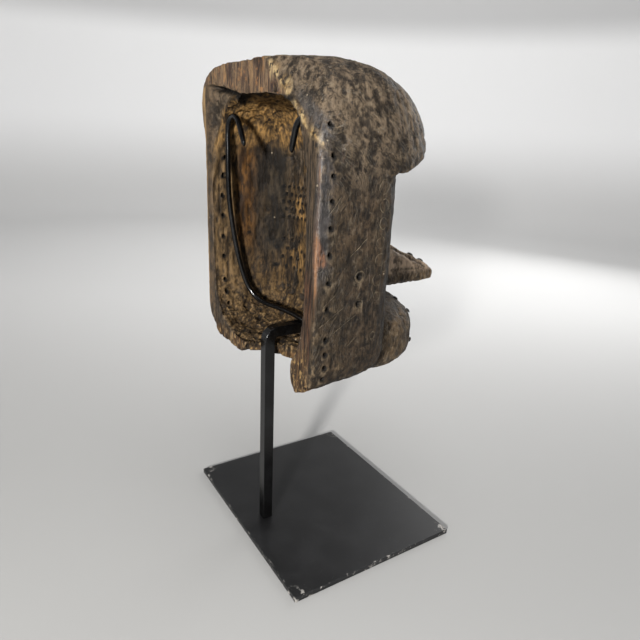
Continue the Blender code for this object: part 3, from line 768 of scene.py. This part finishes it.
def hair_layers(shader):
    """Light and dark strokes: upright ones on the walls, sweeping ones around the dome, in patches."""
    place = shader.bent((0.026, 0.026, 0.026), 0.008)
    around = arc_place(shader, shader.bent((0.040, 0.040, 0.040), 0.022))
    strokes = shader.attribute("strokes")
    on_walls = shader.less(shader.times(strokes, 0.85))
    on_dome = shader.math("ADD", 0.14, shader.times(strokes, 0.86))
    light = None
    dark = None
    layers = (
        (place, -0.16, on_walls), (place, 0.08, on_walls), (place, 0.55, on_walls),
        (around, 0.04, on_dome), (around, 0.34, on_dome), (around, -0.30, on_dome), (place, 2.25, on_dome),
    )
    for number, (where, turn, share) in enumerate(layers):
        patch = shader.noise((0.022, 0.018 + 0.002 * number, 0.026), 3.0, 0.55, (turn, 0.3, 0.0))
        patch = shader.times(shader.ramp(patch, 0.49, 0.61), share)
        for size, along, low in ((0.0012, 0.022, 0.58), (0.0022, 0.030, 0.60)):
            value = shader.noise((size * 1.3, size, along), 3.0, 0.62, (turn, 0.0, 0.0), where)
            line = shader.times(shader.ramp(value, low, low + 0.08), patch)
            light = line if light is None else shader.most(light, line)
            line = shader.times(shader.ramp(value, 1.0 - low, 0.92 - low), patch)
            dark = line if dark is None else shader.most(dark, line)
    return light, dark


def outside_colour(shader, crust, cloud, grime, tint, light, dark, fibre):
    """The handled, encrusted outside: near black to olive brown, streaked with light strokes."""
    strokes = shader.attribute("strokes")
    base = shader.mix(shader.ramp(crust, 0.40, 0.57), (0.0070, 0.0050, 0.0035), (0.092, 0.060, 0.034))
    base = shader.mix(shader.times(shader.ramp(cloud, 0.46, 0.60), 0.50), base, (0.066, 0.044, 0.022))
    worn = shader.mix(shader.ramp(crust, 0.41, 0.56), (0.023, 0.0165, 0.0110), (0.168, 0.124, 0.082))
    base = shader.mix(shader.times(strokes, 0.72), base, worn)
    upright = shader.times(shader.ramp(fibre, 0.50, 0.64), shader.less(strokes))
    base = shader.mix(shader.times(upright, 0.45), base, (0.105, 0.070, 0.040))
    base = shader.mix(shader.times(shader.ramp(grime, 0.54, 0.66), 0.60), base, (0.190, 0.148, 0.100))
    base = shader.mix(shader.times(shader.ramp(grime, 0.47, 0.34), 0.80), base, SOOT)
    dots = shader.ramp(shader.noise((0.0022, 0.0022, 0.0022), 1.0), 0.52, 0.62)
    stipple = shader.times(shader.attribute("stipple"), shader.math("ADD", 0.25, shader.times(dots, 0.75)))
    base = shader.mix(shader.times(stipple, 0.60), base, (0.135, 0.098, 0.060))
    line = shader.mix(shader.ramp(tint, 0.40, 0.58), (0.300, 0.220, 0.130), (0.240, 0.215, 0.180))
    line = shader.mix(shader.ramp(tint, 0.60, 0.70), line, (0.210, 0.135, 0.110))
    dense = shader.math("ADD", 0.46, shader.times(strokes, 0.08))
    base = shader.mix(shader.times(light, dense), base, line)
    return shader.mix(shader.times(dark, 0.70), base, DARK_STROKE)


def inside_colour(shader, grime, fibre):
    """The hollow: near black to golden brown, with upright fibres and crumbs of bright wood."""
    stain = shader.noise((0.011, 0.011, 0.026), 6.0, 0.62)
    base = shader.mix(shader.ramp(stain, 0.38, 0.60), (0.0130, 0.0085, 0.0052), (0.075, 0.045, 0.0185))
    base = shader.mix(shader.times(shader.ramp(fibre, 0.50, 0.66), 0.50), base, (0.130, 0.076, 0.029))
    base = shader.mix(shader.times(shader.ramp(grime, 0.45, 0.36), 0.70), base, DEEP_SOOT)
    wall = shader.mix(shader.ramp(stain, 0.38, 0.58), (0.032, 0.021, 0.011), (0.150, 0.094, 0.042))
    base = shader.over("far_wall", 0.75, base, wall)
    umber = shader.mix(shader.ramp(stain, 0.40, 0.60), (0.022, 0.0100, 0.0036), (0.092, 0.040, 0.0085))
    base = shader.over("umber", 0.85, base, umber)
    slate = shader.mix(shader.ramp(stain, 0.40, 0.58), (0.0062, 0.0053, 0.0042), (0.026, 0.0205, 0.0140))
    base = shader.over("slate", 0.82, base, slate)
    warm = shader.times(shader.attribute("warm"), shader.ramp(stain, 0.34, 0.54))
    gold = shader.math("ADD", 0.30, shader.times(shader.ramp(fibre, 0.38, 0.60), 0.60))
    base = shader.mix(shader.times(warm, gold), base, (0.300, 0.168, 0.054))
    crumbs = shader.times(shader.attribute("crumbs"), shader.ramp(grime, 0.51, 0.64))
    return shader.mix(shader.times(crumbs, 0.70), base, (0.250, 0.160, 0.070))


def bare_colour(shader, tint):
    """Bare wood on the rim's top band: mauve brown with gold fibres."""
    streak = shader.noise((0.0013, 0.006, 0.020), 4.0, 0.6)
    broad = shader.noise((0.0100, 0.012, 0.060), 3.0, 0.5)
    base = shader.mix(shader.ramp(broad, 0.38, 0.60), (0.042, 0.026, 0.021), (0.096, 0.060, 0.039))
    base = shader.mix(shader.times(shader.ramp(streak, 0.50, 0.62), 0.60), base, (0.290, 0.178, 0.080))
    base = shader.mix(shader.times(shader.ramp(streak, 0.48, 0.38), 0.85), base, (0.015, 0.009, 0.0075))
    return shader.mix(shader.times(shader.ramp(tint, 0.56, 0.68), 0.45), base, (0.340, 0.165, 0.060))


def raw_colour(shader, grime):
    """Rough end grain at the bottom: dark brown with upright grooves and crumbs of gold."""
    streak = shader.noise((0.0026, 0.010, 0.024), 4.0, 0.6)
    base = shader.mix(shader.ramp(streak, 0.40, 0.62), (0.009, 0.0050, 0.0030), (0.110, 0.060, 0.024))
    return shader.mix(shader.times(shader.ramp(grime, 0.55, 0.64), 0.75), base, (0.290, 0.182, 0.070))


def wood_material():
    shader = Shader("dark_carved_wood")
    crust = shader.noise((0.010, 0.010, 0.013), 8.0, 0.68)
    cloud = shader.noise((0.050, 0.050, 0.060), 4.0, 0.55)
    grime = shader.noise((0.0034, 0.0034, 0.0050), 4.0, 0.62)
    tint = shader.noise((0.0065, 0.0065, 0.0065), 3.0, 0.5)
    fibre = shader.noise((0.0020, 0.0020, 0.022), 4.0, 0.60)
    light, dark = hair_layers(shader)
    outside = outside_colour(shader, crust, cloud, grime, tint, light, dark, fibre)
    inside = inside_colour(shader, grime, fibre)

    marks = side_marks(shader)
    broken = shader.times(marks, shader.ramp(tint, 0.36, 0.54))
    outside = shader.mix(shader.times(broken, 0.85), outside, (0.300, 0.235, 0.150))
    polish = shader.times(shader.attribute("polish"), shader.ramp(crust, 0.26, 0.44))
    # Painted shade: the outer walls are mixed towards near black where the mask's painted shade value says
    outside = shader.mix(shader.attribute("painted_shade"), outside, PAINTED_WALL_SHADE)
    # Painted light: the beak is painted much lighter than the wood round it, standing in for the light that
    # falls on it
    beak = shader.mix(shader.ramp(crust, 0.36, 0.60), (0.090, 0.064, 0.044), (0.420, 0.312, 0.218))
    outside = shader.over("beak_painted_light", 0.80, outside, beak)
    sheen = shader.mix(shader.ramp(fibre, 0.42, 0.60), (0.0105, 0.0093, 0.0101), (0.037, 0.033, 0.033))
    outside = shader.mix(shader.times(polish, 0.86), outside, sheen)
    lines = shader.times(polish, shader.times(light, 0.30))
    outside = shader.mix(lines, outside, (0.34, 0.31, 0.26))
    outside = shader.over("lip", 0.40, outside, (0.200, 0.150, 0.095))
    far_rim = shader.mix(shader.ramp(crust, 0.38, 0.60), (0.024, 0.0175, 0.012), (0.100, 0.066, 0.037))
    outside = shader.over("far_rim", 0.80, outside, far_rim)
    outside = shader.over("far_edge", 0.80, outside, (0.330, 0.215, 0.100))
    body = shader.mix(shader.attribute("inner"), outside, inside)

    for name, share, spread, low, high in (
        ("strip", 0.92, 0.07, (0.0065, 0.0048, 0.0034), (0.064, 0.043, 0.025)),
        ("rust", 0.85, 0.10, (0.034, 0.0140, 0.0080), (0.165, 0.072, 0.032)),
        ("red_rim", 0.85, 0.10, (0.010, 0.0044, 0.0030), (0.064, 0.026, 0.0115)),
    ):
        tone = shader.mix(shader.ramp(fibre, 0.5 - spread, 0.5 + spread), low, high)
        body = shader.over(name, share, body, tone)
    body = shader.mix(shader.attribute("bare"), body, bare_colour(shader, tint))
    body = shader.mix(shader.attribute("raw"), body, raw_colour(shader, grime))
    body = shader.over("seam", 0.80, body, (0.200, 0.094, 0.038))
    gold = shader.times(shader.attribute("gold"), shader.ramp(grime, 0.38, 0.50))
    crumbled = shader.mix(shader.ramp(tint, 0.40, 0.60), (0.170, 0.105, 0.040), (0.440, 0.320, 0.160))
    body = shader.mix(gold, body, crumbled)
    # Painted highlight: the glint on the near corner's worn edge
    body = shader.over("painted_glint", 0.55, body, (0.330, 0.310, 0.280))

    ridge = shader.times(shader.attribute("ridge"), shader.ramp(grime, 0.44, 0.60))
    body = shader.mix(shader.times(ridge, 0.50), body, (0.200, 0.140, 0.080))
    body = shader.over("groove", 0.70, body, SOOT)
    # Painted shadow and shade: the undercut, the ceiling by the rim and the holes are painted near black
    black = shader.most(shader.attribute("black"), shader.attribute("hole"))
    body = shader.mix(shader.times(black, 0.96), body, PAINTED_HOLLOW_SHADOW)
    specks, lucky = shader.flecks((0.014, 0.014, 0.014), width=0.070)
    specks = shader.times(specks, shader.ramp(lucky, 0.50, 0.55))
    body = shader.mix(shader.times(specks, 0.60), body, (0.34, 0.28, 0.20))

    rough = shader.math("ADD", 0.44, shader.times(crust, 0.34))
    rough = shader.math("ADD", rough, shader.times(shader.attribute("inner"), 0.14))
    rough = shader.math("SUBTRACT", rough, shader.times(polish, 0.26))
    height = shader.times(crust, 0.9)
    for way, part, share in (
        ("ADD", grime, 0.80), ("ADD", light, 0.30), ("SUBTRACT", dark, 0.40),
        ("SUBTRACT", marks, 0.6), ("ADD", fibre, 0.55),
    ):
        height = shader.math(way, height, shader.times(part, share))
    shader.bump(height, WOOD_BUMP)
    shine = shader.math("ADD", 0.20, shader.times(polish, 0.34))
    return shader.finish(body, rough, Specular_IOR_Level=shine)


def rod_material():
    """Black paint with a sharper gloss for the bar and the rod, slightly rubbed and dusty."""
    shader = Shader("gloss_black_steel")
    dust = shader.noise((0.020, 0.020, 0.020), 5.0, 0.65)
    tooth = shader.noise((0.0016, 0.0016, 0.0016), 3.0, 0.6)
    tone = shader.mix(shader.ramp(dust, 0.42, 0.70), (0.0014, 0.0013, 0.0013), (0.0042, 0.0042, 0.0044))
    specks, lucky = shader.flecks((0.011, 0.011, 0.011), width=0.05)
    specks = shader.times(specks, shader.ramp(lucky, 0.74, 0.78))
    tone = shader.mix(shader.times(specks, 0.40), tone, (0.13, 0.13, 0.13))
    shader.bump(tooth, ROD_BUMP)
    rough = shader.math("ADD", 0.13, shader.times(dust, 0.12))
    return shader.finish(tone, rough, Specular_IOR_Level=0.34)


def steel_material():
    """Satin black paint, scuffed and dusty, bare metal at the plate's edges and corners."""
    shader = Shader("satin_black_steel")
    dust = shader.noise((0.030, 0.030, 0.030), 6.0, 0.65)
    tooth = shader.noise((0.0012, 0.0012, 0.0012), 3.0, 0.6)
    black, worn_black = (0.0056, 0.0056, 0.0060), (0.0105, 0.0105, 0.0112)
    tone = shader.mix(shader.ramp(dust, 0.40, 0.70), black, worn_black)
    parts = shader.node("ShaderNodeSeparateXYZ", {0: shader.place})
    across = shader.math("SUBTRACT", PLATE_HIGH[0], shader.math("ABSOLUTE", parts.outputs[0]))
    deep = shader.math("SUBTRACT", PLATE_HIGH[1], shader.math("ABSOLUTE", parts.outputs[1]))
    edge = shader.math("MINIMUM", across, deep)
    on_plate = shader.less(shader.ramp(parts.outputs[2], 0.006, 0.007))
    chips = shader.noise((0.006, 0.006, 0.006), 5.0, 0.7)
    worn = shader.times(shader.less(shader.ramp(edge, 0.0004, 0.0022)), shader.ramp(chips, 0.56, 0.66))
    both = shader.math("ADD", across, deep)
    corner = shader.times(shader.less(shader.ramp(both, 0.010, 0.022)), shader.ramp(chips, 0.55, 0.62))
    worn = shader.times(shader.most(worn, corner), on_plate)
    marks = None
    for turn in (0.4, 1.3, 2.2):
        mark, chance = shader.flecks((0.034, 0.0016, 0.034), (0.0, 0.0, turn), 0.10)
        mark = shader.times(mark, shader.ramp(chance, 0.72, 0.80))
        marks = mark if marks is None else shader.most(marks, mark)
    specks, lucky = shader.flecks((0.009, 0.009, 0.009), (0.0, 0.0, 0.0), 0.05)
    specks = shader.times(specks, shader.ramp(lucky, 0.70, 0.74))
    marks = shader.most(shader.times(marks, 0.5), specks)
    tone = shader.mix(shader.times(marks, 0.40), tone, (0.12, 0.12, 0.125))
    tone = shader.mix(worn, tone, (0.30, 0.285, 0.265))
    rough = shader.math("ADD", 0.34, shader.times(dust, 0.16))
    rough = shader.math("ADD", rough, shader.times(marks, 0.2))
    shader.bump(shader.math("SUBTRACT", shader.times(tooth, 0.35), shader.times(worn, 0.8)), STEEL_BUMP)
    return shader.finish(tone, rough, Specular_IOR_Level=0.34)


def iron_material():
    shader = Shader("dull_iron")
    scale = shader.noise((0.0024, 0.0024, 0.0024), 6.0, 0.65)
    patch = shader.noise((0.0070, 0.0070, 0.0070), 4.0, 0.6)
    metal = shader.mix(shader.ramp(scale, 0.38, 0.66), (0.012, 0.011, 0.0105), (0.055, 0.051, 0.047))
    metal = shader.mix(shader.times(shader.ramp(patch, 0.52, 0.66), 0.6), metal, (0.060, 0.031, 0.016))
    rough = shader.math("ADD", 0.34, shader.times(scale, 0.34))
    shader.bump(scale, IRON_BUMP)
    return shader.finish(metal, rough, 0.75)


# Stage

FLOOR_RADIUS = 2.0
FLOOR_BEND = 1.2
FLOOR_BEND_STEPS = 24
WALL_TOP = 4.2
FLOOR_SIDES = 96

# The way in which the floor grows paler: painted light, darker at one side and paler along this way
PAINTED_LIGHT_SLOPE = (0.84, -0.54, 0.0)


def build_floor():
    """A floor that curves up into a wall all round, so that no view shows a horizon."""
    profile = [(FLOOR_RADIUS * 0.5, 0.0), (FLOOR_RADIUS, 0.0)]
    for i in range(1, FLOOR_BEND_STEPS + 1):
        angle = math.pi / 2 * i / FLOOR_BEND_STEPS
        rise = FLOOR_BEND * (1 - math.cos(angle))
        profile.append((FLOOR_RADIUS + FLOOR_BEND * math.sin(angle), rise))
    profile.append((FLOOR_RADIUS + FLOOR_BEND, WALL_TOP))
    angles = [2 * math.pi * i / FLOOR_SIDES for i in range(FLOOR_SIDES)]
    bm = bmesh.new()
    rows = []
    for radius, height in profile:
        rows.append([bm.verts.new((radius * math.cos(a), radius * math.sin(a), height)) for a in angles])
    bm.faces.new(rows[0])
    for low, high in zip(rows, rows[1:]):
        for i in range(FLOOR_SIDES):
            j = (i + 1) % FLOOR_SIDES
            bm.faces.new((low[i], low[j], high[j], high[i]))
    bmesh.ops.recalc_face_normals(bm, faces=bm.faces)
    mesh = bpy.data.meshes.new("floor")
    bm.to_mesh(mesh)
    bm.free()
    floor = add_piece("floor", mesh)
    mesh.shade_smooth()
    shader = Shader("pale_paper")
    tone = shader.noise((0.7, 0.7, 0.7), 2.0, 0.4)
    # Painted light: the paper is darker at one side of the floor and paler along the slope's way, paler
    # still up the wall and darker again near its top
    values = {0: shader.place, 1: PAINTED_LIGHT_SLOPE}
    away = shader.node("ShaderNodeVectorMath", values, operation="DOT_PRODUCT").outputs[1]
    paper_and_painted_light = shader.mix(shader.ramp(away, -0.15, 0.80), (0.340, 0.338, 0.332), (0.600, 0.598, 0.592))
    paper_and_painted_light = shader.mix(shader.times(tone, 0.16), paper_and_painted_light, (0.560, 0.558, 0.550))
    up = shader.node("ShaderNodeSeparateXYZ", {0: shader.place}).outputs[2]
    paper_and_painted_light = shader.mix(shader.ramp(up, 0.04, 0.45), paper_and_painted_light, (0.85, 0.85, 0.85))
    paper_and_painted_light = shader.mix(shader.ramp(up, 0.84, 1.04), paper_and_painted_light, (0.56, 0.56, 0.56))
    mesh.materials.append(shader.finish(paper_and_painted_light, 0.85, Specular_IOR_Level=0.1))


# The lamps, as (name, place, target, size, power, tint), and the even light from the sky
MIDDLE = (0.0, 0.0, 0.28)
WHITE = (1.0, 1.0, 1.0)
LIGHTS = (
    ("key", (-1.00, 1.13, 0.60), MIDDLE, 0.15, 46.0, (1.0, 0.985, 0.96)),
    ("overhead", (-0.30, 0.10, 1.90), MIDDLE, 1.1, 12.0, WHITE),
    ("fill", (-1.50, -0.60, 0.90), MIDDLE, 0.9, 4.5, (0.97, 0.98, 1.0)),
    ("front", (0.55, -1.30, 0.75), MIDDLE, 0.9, 8.0, WHITE),
    ("backdrop", (0.70, -0.50, 1.70), (2.50, -1.75, 0.62), 0.8, 24.0, WHITE),
)
SKY_COLOUR = (0.96, 0.97, 1.0, 1.0)
SKY_STRENGTH = 0.24


def area_light(name, place, target, size, power, tint):
    data = bpy.data.lights.new(name, "AREA")
    data.shape = "DISK"
    data.size = size
    data.energy = power
    data.color = tint
    light = bpy.data.objects.new(name, data)
    light.location = place
    aim = Vector(target) - Vector(place)
    light.rotation_euler = aim.to_track_quat("-Z", "Y").to_euler()
    bpy.context.scene.collection.objects.link(light)


def build_lights():
    for values in LIGHTS:
        area_light(*values)
    world = bpy.data.worlds.new("studio")
    world.use_nodes = True
    bpy.context.scene.world = world
    sky = world.node_tree.nodes["Background"]
    sky.inputs["Color"].default_value = SKY_COLOUR
    sky.inputs["Strength"].default_value = SKY_STRENGTH


def build_camera():
    data = bpy.data.cameras.new("camera")
    data.lens = CAMERA_LENS_MM
    data.sensor_width = CAMERA_SENSOR_MM
    data.clip_start = 0.01
    camera = bpy.data.objects.new("camera", data)
    aim = Vector(CAMERA_LOOK).to_track_quat("-Z", "Y").to_matrix().to_4x4()
    camera.matrix_world = Matrix.Translation(CAMERA_PLACE) @ aim @ Matrix.Rotation(CAMERA_ROLL, 4, "Z")
    bpy.context.scene.collection.objects.link(camera)
    bpy.context.scene.camera = camera
    bpy.context.scene.view_settings.view_transform = "Standard"


# The object

def dress(piece, slot, material, *nodes):
    piece.data.materials.clear()
    piece.data.materials.append(material)
    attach(piece, "root")
    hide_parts(*nodes)


def repaint(node, material):
    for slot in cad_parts[node].material_slots:
        slot.material = material


STEEL = steel_material()
ROD = rod_material()
IRON = iron_material()
dress(build_mask(), "carved_wood", wood_material(), "mask")
dress(finer("cradle_rod", "bent_rod", ROD_SWELL), "black_steel", ROD, "cradle_rod")
for node in sorted(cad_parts):
    if "tack" in node:
        head = finer(node, node.replace("tack", "tack_head"), TACK_SWELL, TACK_UNEVEN)
        dress(head, "aged_iron", IRON, node)
repaint("base_plate", STEEL)
repaint("post", ROD)
build_floor()
build_lights()
build_camera()
